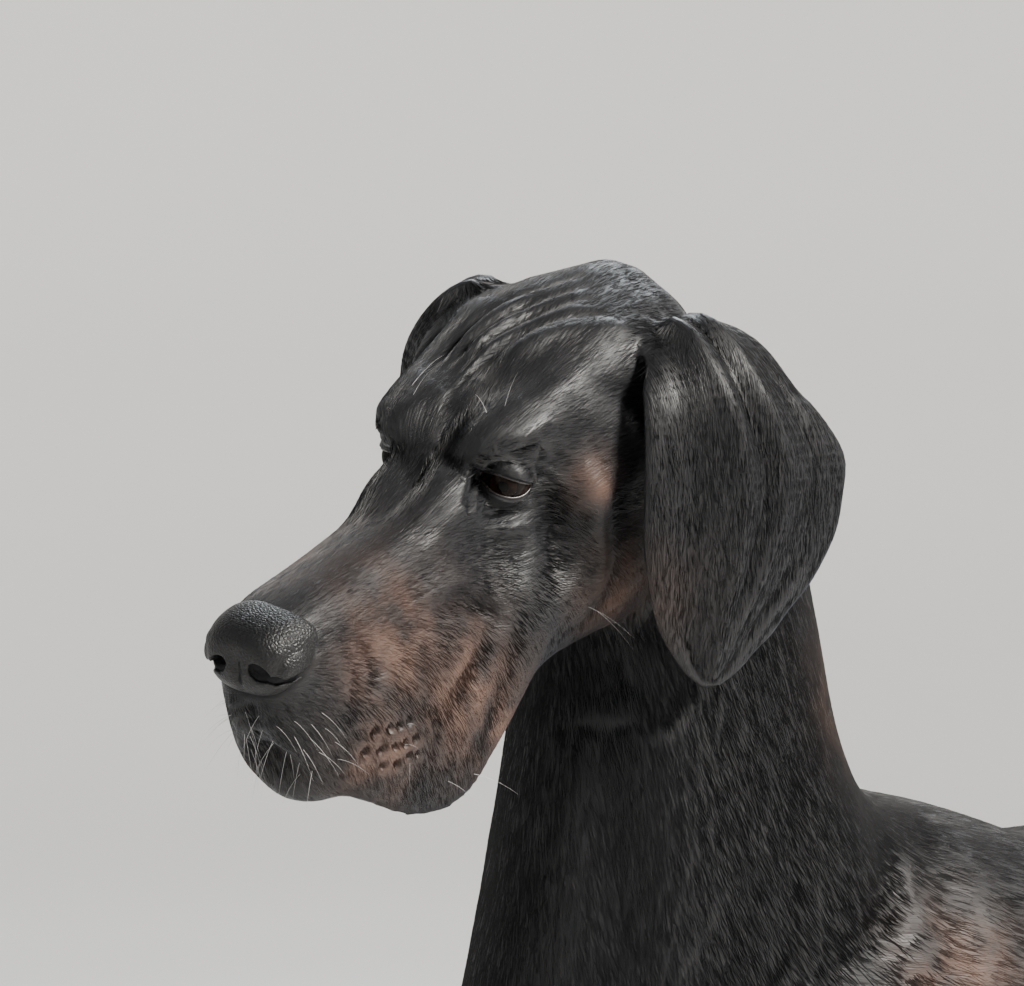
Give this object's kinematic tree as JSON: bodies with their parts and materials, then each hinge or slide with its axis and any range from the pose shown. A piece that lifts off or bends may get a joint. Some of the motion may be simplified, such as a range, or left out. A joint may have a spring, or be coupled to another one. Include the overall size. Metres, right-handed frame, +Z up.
{
  "type": "great dane",
  "caption": "Life-size black great dane standing square on level paws, with a deep muzzle, heavy flews and natural hanging ears.",
  "frame": {"origin": "on the floor under the middle of the dog's bounding box", "axes": "+Z up, the dog faces -Y, and its left side is at +X"},
  "size_m": [0.2952, 1.2258, 1.1493],
  "materials": {
    "coat": "very short glossy black hair with a grey-blue sheen and a rusty glow on the cheeks and muzzle",
    "nose_leather": "moist black pebbled nose leather",
    "eye": "wet dark brown eye with a black pupil",
    "claw": "satin black horn of the claws and paw pads"
  },
  "bodies": {
    "root": {"head": "coat", "neck": "coat", "torso": "coat", "tail": "coat", "ear_left": "coat", "ear_right": "coat", "foreleg_left": "coat", "foreleg_right": "coat", "hind_leg_left": "coat", "hind_leg_right": "coat", "fore_paw_left": "coat", "fore_paw_right": "coat", "hind_paw_left": "coat", "hind_paw_right": "coat", "nose": "nose_leather", "eye_left": "eye", "eye_right": "eye"}
  },
  "joints": []
}
